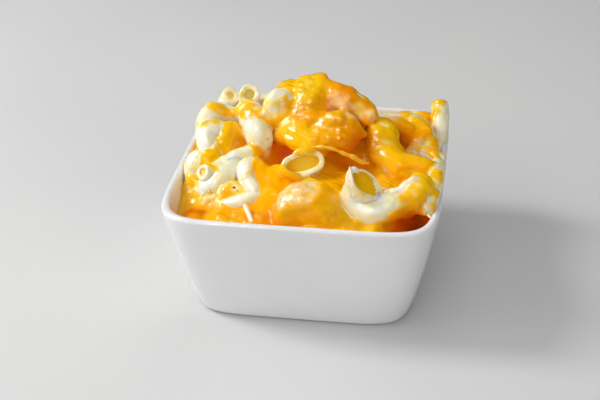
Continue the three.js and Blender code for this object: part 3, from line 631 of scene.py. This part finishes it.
def relax(V, Q, rounds, amount):
    n = len(V)
    a = np.concatenate([Q[:, 0], Q[:, 1], Q[:, 2], Q[:, 3]])
    b = np.concatenate([Q[:, 1], Q[:, 2], Q[:, 3], Q[:, 0]])
    deg = np.bincount(np.concatenate([a, b]), minlength=n)[:, None].astype(float)
    for lam in [amount, -amount * 1.03] * rounds:
        S = np.zeros_like(V)
        for k in range(3):
            S[:, k] = np.bincount(a, V[b, k], n) + np.bincount(b, V[a, k], n)
        V = V + lam * (S / deg - V)
    return V


SV = relax(SV, SQ, 5, 0.5)

# the flat underside becomes one fan inside the bowl
low = (SV[:, 2] < Z0 + 0.35 * H)
keep = ~low[SQ].all(1)
BQ = SQ[keep]
e = np.concatenate([BQ[:, [0, 1]], BQ[:, [1, 2]], BQ[:, [2, 3]], BQ[:, [3, 0]]])
key = np.minimum(e[:, 0], e[:, 1]) * len(SV) + np.maximum(e[:, 0], e[:, 1])
_, inv, cn = np.unique(key, return_inverse=True, return_counts=True)
rim_edges = e[cn[inv] == 1]
SV = np.vstack([SV, [0, 0, Z0]])
centre = len(SV) - 1
fan = np.column_stack([rim_edges[:, 1], rim_edges[:, 0], np.full(len(rim_edges), centre)])
used = np.unique(np.concatenate([BQ.ravel(), fan.ravel()]))
remap = np.full(len(SV), -1); remap[used] = np.arange(len(used))
SV = SV[used]
sauce_faces = [tuple(f) for f in remap[BQ].tolist()] + [tuple(f) for f in remap[fan].tolist()]


def make_mesh(name, V, faces, smooth=True):
    me = bpy.data.meshes.new(name)
    me.from_pydata((np.asarray(V) * MM).tolist(), [], [tuple(f) for f in faces])
    me.update()
    if smooth:
        me.polygons.foreach_set('use_smooth', [True] * len(me.polygons))
    ob = bpy.data.objects.new(name, me)
    bpy.context.scene.collection.objects.link(ob)
    return ob


def put(ob, name, values):
    at = ob.data.attributes.new(name, 'FLOAT', 'POINT')
    at.data.foreach_set('value', np.asarray(values, np.float32))


sauce = make_mesh('cheese_sauce', SV, sauce_faces)
th = sample(DT, SV)
put(sauce, 'thick', np.clip(np.where(th < -0.7, 0.6 - 1.2 * (th + 0.7), th), -1, 4))
put(sauce, 'shut', sample(SHUT, SV))
put(sauce, 'hue', sample(box_blur(HUE, int(round(0.9 / H))), SV))
SKIN = np.minimum(F, DT)


def blots(V, table):
    v = 0.0
    for q, s, a in table:
        v = v + a * np.exp(-((V - q) ** 2).sum(1) / (2 * s * s))
    return v


# painted shade: the 'deep' blots darken the sauce colour in hollows and creases
painted_shade_at = [(np.array([x, y, z]), s, a) for x, y, z, s, a in PAINTED_SHADE_HOLLOWS] + [(first_food(SKIN, u, v), s, a) for u, v, s, a in PAINTED_SHADE_SEEN]
put(sauce, 'deep', np.clip(blots(SV, painted_shade_at), 0, 2))
# painted light: paler sauce inside the open ends, and paler curds
put(sauce, 'pale', np.clip(blots(SV, [(first_food(SKIN, u, v), s, a) for u, v, s, a in PALE_AND_PAINTED_LIGHT_SEEN]), 0, 1))
pink_at = [(first_food(SKIN, u, v), s, a) for u, v, s, a in PINK_SEEN]
put(sauce, 'pink', np.clip(blots(SV, pink_at), 0, 1))
near_ridge = np.min(np.sqrt(((SV[:, None, :] - along[None, ::2]) ** 2).sum(2)) / along_r[None, ::2], axis=1)
put(sauce, 'bare', np.clip(1.75 - near_ridge * 0.9, 0, 1))
put(sauce, 'dull', np.clip(blots(SV, [(first_food(SKIN, u, v), s, a) for u, v, s, a in DULL_SEEN]), -1, 1))
# painted light: yellower, brighter sauce in shaded places
put(sauce, 'yellow', np.clip(blots(SV, [(first_food(SKIN, u, v), s, a) for u, v, s, a in PAINTED_LIGHT_YELLOW_SEEN]), 0, 1))
put(sauce, 'rough', 1 - 0.85 * np.clip(blots(SV, calm_at), -1.3, 1))

# ------------------------------------------------------------------ the elbows' mesh
PV, PF, tone, bores, lines, base = [], [], [], [], [], 0
for tb in TUBES:
    V, Fq, bo, li = tb.mesh()
    lines.append(li)
    PV.append(V); PF.append(Fq + base); base += len(V)
    tone.append(np.full(len(V), tb.tone)); bores.append(bo)
PV = np.vstack(PV)
lump = Waves(21, 8.0)
PV = PV + 0.14 * np.column_stack([lump(PV[:, 0], PV[:, 1], PV[:, 2]), lump(PV[:, 1] + 40, PV[:, 2], PV[:, 0]), lump(PV[:, 2] - 70, PV[:, 0], PV[:, 1])])
PV = to_room(PV, 0.15)
PF = np.vstack(PF)
pasta = make_mesh('elbow_macaroni', PV, PF.tolist())
put(pasta, 'sauce', np.clip(sample(F, PV), -3, 3))
put(pasta, 'shut', sample(SHUT, PV))
put(pasta, 'tone', np.concatenate(tone))
put(pasta, 'line', np.concatenate(lines))
put(pasta, 'bore', np.concatenate(bores))
put(pasta, 'pink', np.clip(blots(PV, pink_at), 0, 1))

# ------------------------------------------------------------------ the bowl's mesh
SEG = 144


def plan_ring(half, n, z):
    phi = 2 * np.pi * np.arange(SEG) / SEG
    a = phi + 0.6 * np.sin(4 * phi) / 4
    c, s = np.cos(a), np.sin(a)
    r = half / (np.abs(c) ** n + np.abs(s) ** n) ** (1 / n)
    return np.column_stack([r * c, r * s, np.full(SEG, z)])


def stack_mesh(rings, z_first, z_last):
    V = np.vstack(rings + [np.array([[0, 0, z_first], [0, 0, z_last]])])
    m = len(rings)
    faces = []
    for k in range(m - 1):
        for i in range(SEG):
            a, b = k * SEG + i, k * SEG + (i + 1) % SEG
            faces.append((a, b, b + SEG, a + SEG))
    c0, c1 = m * SEG, m * SEG + 1
    for i in range(SEG):
        faces.append((c0, (i + 1) % SEG, i))
        faces.append((c1, (m - 1) * SEG + i, (m - 1) * SEG + (i + 1) % SEG))
    return V, faces


rings = []
for f in (0.35, 0.7, 0.9):
    rings.append(plan_ring((RECESS_HALF - 1.2) * f, N_BASE, RECESS))
rings.append(plan_ring(RECESS_HALF - 1.2, N_BASE, RECESS))
rings.append(plan_ring(RECESS_HALF - 0.6, N_BASE, RECESS * 0.55))
rings.append(plan_ring(RECESS_HALF, N_BASE, 0.05))
rings.append(plan_ring(RECESS_HALF + 0.4, N_BASE, 0))
rings.append(plan_ring(BASE_HALF - FOOT_R - 0.6, N_BASE, 0))
for t in (0, 15, 30, 45, 60, 75, 90):
    z = FOOT_R * (1 - math.cos(math.radians(t)))
    rings.append(plan_ring(float(outer_half(z)) - FOOT_R * (1 - math.sin(math.radians(t))), float(squareness(z)), z))
for z in np.linspace(4, HEIGHT - WALL_RIM / 2 - 0.9, 16):
    rings.append(plan_ring(float(outer_half(z)), float(squareness(z)), z))
lip_r = WALL_RIM / 2
zc = HEIGHT - lip_r
mid = float(outer_half(zc)) - lip_r
for t in range(8, 176, 12):
    a = math.radians(t)
    rings.append(plan_ring(mid + lip_r * math.cos(a), float(squareness(HEIGHT)), zc + lip_r * math.sin(a)))
for z in np.r_[np.linspace(HEIGHT - 3.0, 32.0, 22), np.linspace(29.0, FLOOR_Z + FLOOR_R, 8)]:
    rings.append(plan_ring(float(outer_half(z) - wall(z)), float(squareness(z)), z))
zf = FLOOR_Z + FLOOR_R
for t in (12, 25, 38, 51, 64, 77, 90):
    a = math.radians(t)
    z = FLOOR_Z + FLOOR_R * (1 - math.sin(a))
    rings.append(plan_ring(float(outer_half(zf) - wall(zf)) - FLOOR_R * (1 - math.cos(a)), float(squareness(z)), z))
for f in (0.7, 0.4):
    rings.append(plan_ring((float(outer_half(zf) - wall(zf)) - FLOOR_R) * f, N_BASE, FLOOR_Z))
bv, bf = stack_mesh(rings, RECESS, FLOOR_Z)
bowl = make_mesh('porcelain_bowl', bv, bf)
wall_in = (rounded_radius(bv[:, 0], bv[:, 1], squareness(bv[:, 2])) < outer_half(bv[:, 2]) - wall(bv[:, 2]) * 0.8) & (bv[:, 2] > 30)
# partly painted light: a warm pale colour on the inside wall next to the food, part smeared sauce, part lifted shade
put(bowl, 'smear_and_painted_light', np.where(wall_in, np.clip(1 - sample(OPEN, bv) / 2.0, 0, 1), 0))

# core of the heap, inside the bowl under the meshed sauce
rings = []
half_in = lambda z: float(outer_half(z) - wall(z)) - 0.05
for f in (0.4, 0.7):
    rings.append(plan_ring((half_in(zf) - FLOOR_R) * f, N_BASE, FLOOR_Z + 0.05))
for t in (90, 70, 50, 30, 12):
    a = math.radians(t)
    z = FLOOR_Z + 0.05 + FLOOR_R * (1 - math.sin(a))
    rings.append(plan_ring(half_in(zf) - FLOOR_R * (1 - math.cos(a)), float(squareness(z)), z))
for z in np.linspace(zf, Z0 + 0.4, 6):
    rings.append(plan_ring(half_in(z), float(squareness(z)), z))
rings.append(plan_ring(half_in(Z0) * 0.6, N_BASE, Z0 + 0.4))
cv, cf = stack_mesh(rings, FLOOR_Z + 0.05, Z0 + 0.4)
core = make_mesh('sauce_core', cv, cf)

# ------------------------------------------------------------------ threads of cheese
def thread(points, radii, around=9, wiggle=0.0, seed=1):
    C = catmull(points, 0.5)
    n = len(C)
    T = np.gradient(C, axis=0); T /= np.linalg.norm(T, axis=1)[:, None]
    u = np.cross(T[0], (0.3, 0.2, 1.0)); u /= np.linalg.norm(u)
    U = [u]
    for i in range(1, n):
        u = U[-1] - T[i] * (U[-1] @ T[i]); U.append(u / np.linalg.norm(u))
    U = np.array(U); V = np.cross(T, U)
    t = np.linspace(0, 1, n)
    rad = np.interp(t, np.linspace(0, 1, len(radii)), radii)
    rng = np.random.default_rng(seed)
    rad = rad * (1 + wiggle * np.sin(np.arange(n) * rng.uniform(0.5, 0.8) + rng.uniform(0, 6)))
    q = np.linspace(0, 2 * np.pi, around, endpoint=False)
    P = C[:, None] + rad[:, None, None] * (np.cos(q)[None, :, None] * U[:, None] + np.sin(q)[None, :, None] * V[:, None])
    P = np.vstack([P.reshape(-1, 3), C[:1], C[-1:]])
    i = np.arange(n - 1)[:, None] * around
    j = np.arange(around)[None, :]
    j2 = (j + 1) % around
    faces = np.stack([i + j, i + j2, i + around + j2, i + around + j], -1).reshape(-1, 4).tolist()
    a, b = n * around, n * around + 1
    for k in range(around):
        faces.append((a, (k + 1) % around, k))
        faces.append((b, (n - 1) * around + k, (n - 1) * around + (k + 1) % around))
    return P, faces


def joined(name, items):
    V, Fc, b = [], [], 0
    for p, f in items:
        V.append(p); Fc += [tuple(i + b for i in q) for q in f]; b += len(p)
    return make_mesh(name, np.vstack(V), Fc)


STRANDS = [
    ([(313, 147, -10.5), (321, 147, -10.5), (333, 149, -10), (345, 154, -9.5), (354, 157.5, -9), (358, 160.5, -8.5), (363, 162.5, -8), (369, 163.5, -7)],
     [0.35, 0.75, 0.7, 0.65, 0.8, 1.0, 0.85, 0.5], 0.16, 4),
]
strands = joined('cheese_threads', [thread([at(*q) for q in p], r, 9, w, s) for p, r, w, s in STRANDS])

LIPS = [
    ([(352, 196, -33), (349.5, 189, -32), (348.5, 180, -31), (350, 173, -30.5), (353.5, 169.5, -30), (358, 172, -28.5)], [0.7, 1.0, 1.1, 1.2, 1.15, 0.7], 0.05, 2),
]
lips = joined('macaroni_lips', [thread([at(*q) for q in p], r, 12, w, s) for p, r, w, s in LIPS])
LV = np.array([v.co[:] for v in lips.data.vertices]) / MM
put(lips, 'sauce', np.clip(sample(F, LV), 0.4, 3))
put(lips, 'shut', np.full(len(LV), 0.5))
put(lips, 'bore', np.zeros(len(LV)))
put(lips, 'pink', np.zeros(len(LV)))
THREADS_PALE = [
    ([(244.5, 205, -33.5), (247, 210, -35.0), (249.6, 216, -37), (252.5, 223, -39)], [0.7, 0.95, 0.95, 0.85], 0.05, 7),
    ([(422, 208, -29), (424.5, 211, -30.5), (427, 214.5, -32.5), (431, 218, -35)], [0.3, 0.4, 0.4, 0.3], 0.1, 8),
]
pale = joined('pale_threads', [thread([at(*q) for q in p], r, 9, w, s) for p, r, w, s in THREADS_PALE])


def speck(c, r, seed, n=7, m=5):
    """Small lumpy grain."""
    rng = np.random.default_rng(seed)
    V = [(0, 0, 1.0)]
    for j in range(1, m):
        t = math.pi * j / m
        for i in range(n):
            V.append((math.sin(t) * math.cos(2 * math.pi * (i + 0.5 * j) / n), math.sin(t) * math.sin(2 * math.pi * (i + 0.5 * j) / n), math.cos(t)))
    V.append((0, 0, -1.0))
    V = np.array(V) * rng.uniform(0.75, 1.15, size=(len(V), 1)) * np.array([1.1, 0.9, 0.7]) * r + np.asarray(c)
    faces = [(0, 1 + i, 1 + (i + 1) % n) for i in range(n)]
    for j in range(m - 2):
        for i in range(n):
            a = 1 + j * n
            faces.append((a + i, a + n + i, a + n + (i + 1) % n, a + (i + 1) % n))
    a = 1 + (m - 2) * n
    faces += [(len(V) - 1, a + (i + 1) % n, a + i) for i in range(n)]
    return V, faces


PEPPER = [(234, 187.5, 0.52), (237.5, 191, 0.22), (202, 199, 0.22)]
pepper = joined('pepper_grains', [speck(first_food(SKIN, u, v) + np.array([0.02, -0.08, 0.05]), r, 20 + i) for i, (u, v, r) in enumerate(PEPPER)])

# ------------------------------------------------------------------ materials
def material(name):
    m = bpy.data.materials.new(name)
    m.use_nodes = True
    nt = m.node_tree
    return m, nt, nt.nodes['Principled BSDF']


def node(nt, kind, **kw):
    n = nt.nodes.new(kind)
    for k, v in kw.items():
        setattr(n, k, v)
    return n


def attr(nt, name):
    n = node(nt, 'ShaderNodeAttribute', attribute_name=name)
    return n.outputs['Fac']


def ramp(nt, fac, stops, mode='LINEAR'):
    n = node(nt, 'ShaderNodeValToRGB')
    n.color_ramp.interpolation = mode
    el = n.color_ramp.elements
    while len(el) < len(stops):
        el.new(0.5)
    for e_, (p, c) in zip(el, stops):
        e_.position = p
        e_.color = (c[0], c[1], c[2], 1) if not np.isscalar(c) else (c, c, c, 1)
    nt.links.new(fac, n.inputs['Fac'])
    return n.outputs['Color']


def maprange(nt, v, a, b, c=0.0, d=1.0):
    n = node(nt, 'ShaderNodeMapRange')
    nt.links.new(v, n.inputs['Value'])
    n.inputs['From Min'].default_value, n.inputs['From Max'].default_value = a, b
    n.inputs['To Min'].default_value, n.inputs['To Max'].default_value = c, d
    return n.outputs['Result']


def math_node(nt, op, a, b):
    n = node(nt, 'ShaderNodeMath', operation=op)
    for s, v in zip(n.inputs, (a, b)):
        if isinstance(v, (int, float)):
            s.default_value = v
        else:
            nt.links.new(v, s)
    return n.outputs[0]


def mix(nt, fac, a, b, mode='MIX'):
    n = node(nt, 'ShaderNodeMix', data_type='RGBA', blend_type=mode)
    if isinstance(fac, (int, float)):
        n.inputs['Factor'].default_value = fac
    else:
        nt.links.new(fac, n.inputs['Factor'])
    for s, v in ((n.inputs[6], a), (n.inputs[7], b)):
        if isinstance(v, tuple):
            s.default_value = (v[0], v[1], v[2], 1)
        else:
            nt.links.new(v, s)
    return n.outputs[2]


def noise(nt, scale_mm, detail=2.0, rough=0.5, seed=0.0, distort=0.0):
    tc = node(nt, 'ShaderNodeTexCoord')
    mp = node(nt, 'ShaderNodeMapping')
    mp.inputs['Location'].default_value = (seed, seed * 1.7, seed * 0.6)
    s = 1.0 / (scale_mm * MM)
    mp.inputs['Scale'].default_value = (s, s, s)
    nt.links.new(tc.outputs['Object'], mp.inputs['Vector'])
    n = node(nt, 'ShaderNodeTexNoise')
    n.inputs['Scale'].default_value = 1.0
    n.inputs['Detail'].default_value = detail
    n.inputs['Roughness'].default_value = rough
    n.inputs['Distortion'].default_value = distort
    nt.links.new(mp.outputs['Vector'], n.inputs['Vector'])
    return n.outputs['Fac']


def bump(nt, height, dist_mm, strength, chain=None):
    n = node(nt, 'ShaderNodeBump')
    n.inputs['Distance'].default_value = dist_mm * MM
    n.inputs['Strength'].default_value = strength
    nt.links.new(height, n.inputs['Height'])
    if chain is not None:
        nt.links.new(chain, n.inputs['Normal'])
    return n.outputs['Normal']


def srgb(r, g, b):
    def f(c):
        c /= 255.0
        return c / 12.92 if c <= 0.04045 else ((c + 0.055) / 1.055) ** 2.4
    return (f(r), f(g), f(b))


# porcelain
m_bowl, nt, bs = material('glazed_porcelain')
n1 = noise(nt, 30, 2.0, 0.5, 3.0)
col = ramp(nt, n1, [(0.3, srgb(230, 230, 230)), (0.7, srgb(235, 235, 235))])
geo = node(nt, 'ShaderNodeTexCoord')
sep = node(nt, 'ShaderNodeSeparateXYZ')
nt.links.new(geo.outputs['Object'], sep.inputs[0])
foot = maprange(nt, sep.outputs['Z'], 0.0001, 0.0006, 1, 0)
col = mix(nt, foot, col, srgb(222, 217, 208))
# smeared sauce on the inside wall, partly painted light: it lifts the shaded wall to a warm pale colour
film = math_node(nt, 'POWER', attr(nt, 'smear_and_painted_light'), 1.4)
col = mix(nt, math_node(nt, 'MULTIPLY', film, maprange(nt, noise(nt, 5, 2.0, 0.5, 9.0), 0.3, 0.7, 0.5, 0.85)), col, srgb(255, 230, 146))
nt.links.new(col, bs.inputs['Base Color'])
rr_ = maprange(nt, noise(nt, 18, 3.0, 0.6, 7.0), 0.3, 0.7, 0.07, 0.15)
rr_ = math_node(nt, 'ADD', rr_, math_node(nt, 'MULTIPLY', foot, 0.55))
nt.links.new(rr_, bs.inputs['Roughness'])
nb = bump(nt, noise(nt, 9, 1.0, 0.4, 2.0), 0.12, 0.25)
nt.links.new(nb, bs.inputs['Normal'])
bs.inputs['Subsurface Weight'].default_value = 0.12
bs.inputs['Subsurface Radius'].default_value = (0.0015, 0.0013, 0.0011)
bs.inputs['Subsurface Scale'].default_value = 1.0
bs.inputs['IOR'].default_value = 1.5
bs.inputs['Specular IOR Level'].default_value = 0.38
bs.inputs['Coat Weight'].default_value = 0.12
bs.inputs['Coat Roughness'].default_value = 0.06
bowl.data.materials.append(m_bowl)

# cheese sauce
m_sauce, nt, bs = material('cheese_sauce')
thick = attr(nt, 'thick')
shut = attr(nt, 'shut')
deep = attr(nt, 'deep')
hue = attr(nt, 'hue')
n2 = noise(nt, 6, 3.0, 0.55, 11.0)
c1 = ramp(nt, n2, [(0.30, srgb(255, 176, 4)), (0.50, srgb(255, 186, 6)), (0.72, srgb(255, 200, 12))])
c1 = mix(nt, maprange(nt, hue, 0.0, -1.0), c1, srgb(255, 200, 14))
c1 = mix(nt, maprange(nt, hue, 0.0, 1.0), c1, srgb(250, 160, 6))
# painted shade: darker orange where the sauce is shut in
c1 = mix(nt, maprange(nt, shut, 0.66, 0.95), c1, srgb(240, 128, 0))
blot = noise(nt, 2.6, 3.0, 0.6, 31.0)
# painted light: brighter yellow where the sauce lies in shade
c1 = mix(nt, attr(nt, 'yellow'), c1, srgb(255, 204, 12))
pink = maprange(nt, math_node(nt, 'MULTIPLY', attr(nt, 'pink'), maprange(nt, blot, 0.3, 0.62, 0.35, 1.15)), 0.25, 0.8, 0.0, 0.85)
c1 = mix(nt, pink, c1, srgb(255, 226, 166))
# a thin film lets the pasta through
film = maprange(nt, math_node(nt, 'ADD', thick, maprange(nt, blot, 0.3, 0.7, -0.10, 0.10)), -0.05, 0.55)
c2 = ramp(nt, film, [(0.0, srgb(255, 244, 214)), (0.25, srgb(255, 234, 170)), (0.55, srgb(255, 216, 90)), (1.0, srgb(255, 196, 30))])
c3 = mix(nt, maprange(nt, film, 0.55, 1.0), c2, c1)
# painted shade in the hollows: darker red-orange, then brown, where 'deep' is high
c4 = mix(nt, maprange(nt, deep, 0.0, 0.9), c3, srgb(214, 92, 0))
c5 = mix(nt, maprange(nt, deep, 0.9, 1.7), c4, srgb(120, 38, 0))
# painted light: pale yellow-green inside the open ends
c5 = mix(nt, attr(nt, 'pale'), c5, srgb(238, 226, 130))
c5 = mix(nt, math_node(nt, 'MULTIPLY', attr(nt, 'bare'), maprange(nt, blot, 0.25, 0.5, 0.55, 1.0)), c5, srgb(255, 247, 226))
nt.links.new(c5, bs.inputs['Base Color'])
gloss = maprange(nt, noise(nt, 3.5, 2.0, 0.5, 5.0), 0.3, 0.7, 0.09, 0.20)
nt.links.new(math_node(nt, 'ADD', gloss, maprange(nt, deep, 0.35, 1.0, 0.0, 0.15)), bs.inputs['Roughness'])
dry = math_node(nt, 'ADD', maprange(nt, deep, 0.15, 0.6), math_node(nt, 'MULTIPLY', attr(nt, 'dull'), 0.8))
nt.links.new(maprange(nt, dry, -1.0, 1.0, 0.52, 0.02), bs.inputs['Specular IOR Level'])
nt.links.new(maprange(nt, dry, -1.0, 1.0, 0.34, 0.0), bs.inputs['Coat Weight'])
lively = attr(nt, 'rough')
nb = bump(nt, math_node(nt, 'MULTIPLY', lively, noise(nt, 3.0, 2.0, 0.5, 1.0)), 0.55, 0.6)
nb = bump(nt, math_node(nt, 'MULTIPLY', lively, noise(nt, 1.3, 2.0, 0.5, 4.0)), 0.22, 0.7, nb)
nt.links.new(nb, bs.inputs['Normal'])
bs.inputs['Subsurface Weight'].default_value = 0.35
bs.inputs['Subsurface Radius'].default_value = (0.0028, 0.0014, 0.0003)
bs.inputs['Subsurface Scale'].default_value = 1.0
bs.inputs['IOR'].default_value = 1.42
bs.inputs['Specular IOR Level'].default_value = 0.27
bs.inputs['Coat Weight'].default_value = 0.16
bs.inputs['Coat Roughness'].default_value = 0.06
sauce.data.materials.append(m_sauce)
core.data.materials.append(m_sauce)

# threads
m_thread, nt, bs = material('cheese_thread')
c1 = ramp(nt, noise(nt, 2.0, 2.0, 0.5, 2.0), [(0.3, srgb(255, 186, 24)), (0.7, srgb(255, 204, 70))])
nt.links.new(c1, bs.inputs['Base Color'])
bs.inputs['Roughness'].default_value = 0.25
bs.inputs['Subsurface Weight'].default_value = 0.4
bs.inputs['Subsurface Radius'].default_value = (0.002, 0.001, 0.0004)
bs.inputs['Subsurface Scale'].default_value = 1.0
nb = bump(nt, noise(nt, 0.8, 2.0, 0.5, 1.0), 0.1, 0.5)
nt.links.new(nb, bs.inputs['Normal'])
strands.data.materials.append(m_thread)

# macaroni
m_pasta, nt, bs = material('cooked_macaroni')
near = attr(nt, 'sauce')
shut = attr(nt, 'shut')
bore = attr(nt, 'bore')
n1 = noise(nt, 6, 3.0, 0.55, 8.0)
c1 = ramp(nt, n1, [(0.30, srgb(255, 253, 246)), (0.48, srgb(255, 249, 234)), (0.62, srgb(254, 238, 210)), (0.80, srgb(253, 230, 178))])
c1 = mix(nt, maprange(nt, noise(nt, 9, 2.0, 0.5, 23.0), 0.46, 0.70, 0.0, 0.7), c1, srgb(255, 230, 140))
c1 = mix(nt, math_node(nt, 'MULTIPLY', attr(nt, 'pink'), 0.7), c1, srgb(252, 222, 184))
c1 = mix(nt, maprange(nt, attr(nt, 'line'), 0.0, 0.9, 0.0, 0.75), c1, srgb(250, 222, 160))
edge = maprange(nt, math_node(nt, 'ADD', near, maprange(nt, noise(nt, 2.6, 3.0, 0.6, 2.0), 0.3, 0.7, -0.14, 0.14)), 0.0, 0.5, 1.0, 0.0)
c2 = mix(nt, math_node(nt, 'MULTIPLY', edge, 0.72), c1, srgb(255, 236, 180))
# painted shade: darker yellow where the pasta is shut in, standing for shade and for warm light thrown back by the
# sauce
c3 = mix(nt, maprange(nt, shut, 0.64, 0.92, 0, 0.8), c2, srgb(252, 206, 92))
c4 = mix(nt, bore, c3, srgb(246, 214, 70))
nt.links.new(c4, bs.inputs['Base Color'])
nt.links.new(maprange(nt, noise(nt, 3.0, 2.0, 0.5, 5.0), 0.3, 0.7, 0.20, 0.36), bs.inputs['Roughness'])
nb = bump(nt, noise(nt, 3.4, 2.0, 0.5, 1.0), 0.25, 0.35)
nb = bump(nt, noise(nt, 0.9, 2.0, 0.5, 9.0), 0.05, 0.25, nb)
nt.links.new(nb, bs.inputs['Normal'])
bs.inputs['Subsurface Weight'].default_value = 0.5
bs.inputs['Subsurface Radius'].default_value = (0.0032, 0.0021, 0.0010)
bs.inputs['Subsurface Scale'].default_value = 1.0
bs.inputs['IOR'].default_value = 1.42
bs.inputs['Coat Weight'].default_value = 0.25
bs.inputs['Coat Roughness'].default_value = 0.08
pasta.data.materials.append(m_pasta)
lips.data.materials.append(m_pasta)

# pale threads of melted cheese
m_pale, nt, bs = material('pale_thread')
c1 = ramp(nt, noise(nt, 1.5, 2.0, 0.5, 2.0), [(0.3, srgb(255, 226, 176)), (0.7, srgb(255, 240, 212))])
nt.links.new(c1, bs.inputs['Base Color'])
bs.inputs['Roughness'].default_value = 0.25
bs.inputs['Subsurface Weight'].default_value = 0.3
bs.inputs['Subsurface Radius'].default_value = (0.0015, 0.001, 0.0006)
bs.inputs['Subsurface Scale'].default_value = 1.0
pale.data.materials.append(m_pale)

# pepper
m_pepper, nt, bs = material('ground_pepper')
c1 = ramp(nt, noise(nt, 0.4, 2.0, 0.5, 2.0), [(0.3, srgb(38, 18, 6)), (0.7, srgb(74, 38, 12))])
nt.links.new(c1, bs.inputs['Base Color'])
bs.inputs['Roughness'].default_value = 0.5
pepper.data.materials.append(m_pepper)

# ------------------------------------------------------------------ what rides and what replaces
for ob in (sauce, pasta, core, strands, lips, pale, pepper, bowl):
    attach(ob, 'root')
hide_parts('bowl')
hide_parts('macaroni_heap')
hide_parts('macaroni_heap')
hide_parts('macaroni_heap')
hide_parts('macaroni_heap')
for ob in (lips, pale, pepper):
    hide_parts('macaroni_heap')

# ------------------------------------------------------------------ floor, light, camera
fl = bpy.data.meshes.new('floor')
fl.from_pydata([(-4, -4, 0), (4, -4, 0), (4, 4, 0), (-4, 4, 0)], [], [(0, 1, 2, 3)])
floor = bpy.data.objects.new('floor', fl)
bpy.context.scene.collection.objects.link(floor)
m_floor, nt, bs = material('pale_floor')
nt.links.new(ramp(nt, noise(nt, 120, 2.0, 0.5, 1.0), [(0.3, srgb(212, 212, 213)), (0.7, srgb(216, 216, 216))]), bs.inputs['Base Color'])
bs.inputs['Roughness'].default_value = 0.45
bs.inputs['Specular IOR Level'].default_value = 0.25
fl.materials.append(m_floor)

scene = bpy.context.scene
world = bpy.data.worlds.new('studio')
scene.world = world
world.use_nodes = True
world.node_tree.nodes['Background'].inputs['Color'].default_value = (1.0, 0.995, 0.985, 1)
world.node_tree.nodes['Background'].inputs['Strength'].default_value = 0.24


def area(name, loc, target, sx, sy, power, colour=(1, 1, 1)):
    li = bpy.data.lights.new(name, 'AREA')
    li.shape = 'RECTANGLE'
    li.size, li.size_y = sx, sy
    li.energy = power
    li.color = colour
    ob = bpy.data.objects.new(name, li)
    scene.collection.objects.link(ob)
    ob.location = loc
    d = Vector(target) - Vector(loc)
    ob.rotation_euler = d.to_track_quat('-Z', 'Y').to_euler()
    return ob


area('window', (-0.78, 0.00, 0.70), (0, 0, 0.04), 0.22, 0.34, 5.2, (1.0, 0.99, 0.97))
soft = [area('side', (-0.85, -0.30, 0.60), (0, 0, 0.04), 0.9, 0.7, 3.4),
        area('top', (0.05, 0.25, 1.0), (0, 0, 0.04), 0.8, 0.8, 2.0),
        area('front', (-0.25, -1.10, 0.60), (0, 0, 0.03), 1.0, 0.7, 3.65),
        area('right', (0.85, -0.75, 0.80), (0, 0, 0.04), 0.7, 0.7, 2.1)]
for ob in soft:
    ob.visible_glossy = False
glint = area('glint', (-0.74, -0.22, 0.64), (0, 0, 0.04), 0.34, 0.30, 11.5, (1.0, 0.99, 0.98))
glint2 = area('glint_front', (-0.26, -0.66, 0.82), (0, 0, 0.05), 0.15, 0.15, 2.6, (1.0, 0.99, 0.98))
glint3 = area('glint_back', (-0.50, 0.20, 0.88), (0, 0, 0.05), 0.16, 0.16, 2.0, (1.0, 0.99, 0.98))
for g_ in (glint, glint2, glint3):
    g_.visible_diffuse = False
    g_.visible_transmission = False
world.cycles_visibility.glossy = False

cam_d = bpy.data.cameras.new('camera')
cam = bpy.data.objects.new('camera', cam_d)
scene.collection.objects.link(cam)
cam_d.sensor_width = 36.0
cam_d.lens = FOCAL * 36.0 / 600.0
cam_d.clip_start, cam_d.clip_end = 0.01, 20
M = Matrix((Vector(CAM_R), Vector(CAM_U), -Vector(CAM_F))).transposed().to_4x4()
M.translation = Vector(CAM_AT) * MM
cam.matrix_world = M
scene.camera = cam
scene.view_settings.view_transform = 'Standard'
scene.view_settings.look = 'None'
scene.view_settings.exposure = 0.0

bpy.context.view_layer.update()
